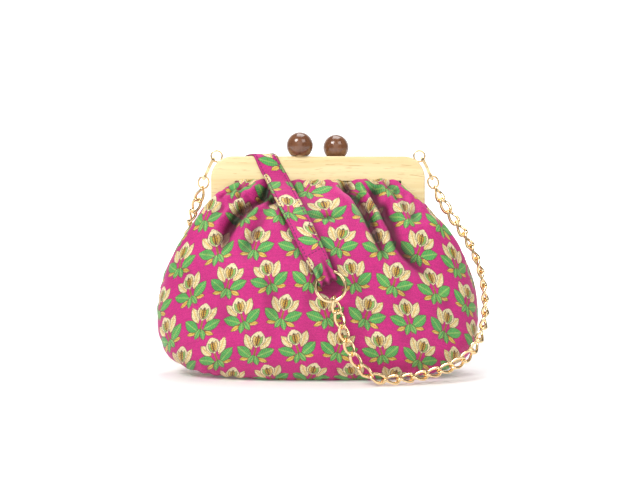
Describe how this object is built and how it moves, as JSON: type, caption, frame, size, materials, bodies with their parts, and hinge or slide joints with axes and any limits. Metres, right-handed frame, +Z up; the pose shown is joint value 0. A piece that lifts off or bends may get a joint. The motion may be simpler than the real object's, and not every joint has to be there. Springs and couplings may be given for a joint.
{
  "type": "fabric shoulder bag",
  "caption": "Gathered fabric shoulder bag on an oval base, closed by two wooden frame jaws with turned beads, with a fabric and curb chain strap clipped to the frame's corners",
  "frame": {"origin": "middle of the flat oval base, on the surface that the bag stands on", "axes": "+X to the right as seen from the front, -Y to the front, +Z up; millimetres in the source, metres here"},
  "size_m": [0.2984, 0.2079, 0.215],
  "materials": {
    "fabric": "woven pattern on a magenta ground",
    "wood": "pale satin lacquer",
    "bead": "polished brown",
    "gold_metal": "pale gold plate"
  },
  "bodies": {
    "bag": {"front_panel": "fabric", "back_panel": "fabric", "base_panel": "fabric", "strap_band": "fabric", "front_jaw": "wood", "back_jaw": "wood", "bead_front": "bead", "bead_back": "bead", "hinge_left": "gold_metal", "hinge_right": "gold_metal", "bead_pin_front": "gold_metal", "bead_pin_back": "gold_metal", "eye_left": "gold_metal", "eye_right": "gold_metal", "ring_front": "gold_metal", "ring_back": "gold_metal", "clasp_left": "gold_metal", "clasp_right": "gold_metal", "chain_right": "gold_metal", "chain_left": "gold_metal"},
    "left_lever": {"lever_left": "gold_metal"},
    "right_lever": {"lever_right": "gold_metal"}
  },
  "joints": [
    {"name": "left_lever_hinge", "type": "hinge", "parent": "bag", "child": "left_lever", "pos_m": [-0.09723, 0.00875, 0.18361], "axis": [0.891, 0, -0.454], "range_deg": [0, 28], "stiffness_Nm_per_rad": 0.001, "springref_deg": -17.19},
    {"name": "right_lever_hinge", "type": "hinge", "parent": "bag", "child": "right_lever", "pos_m": [0.09723, 0.00875, 0.18361], "axis": [0.891, 0, 0.454], "range_deg": [0, 28], "stiffness_Nm_per_rad": 0.001, "springref_deg": -17.19}
  ]
}
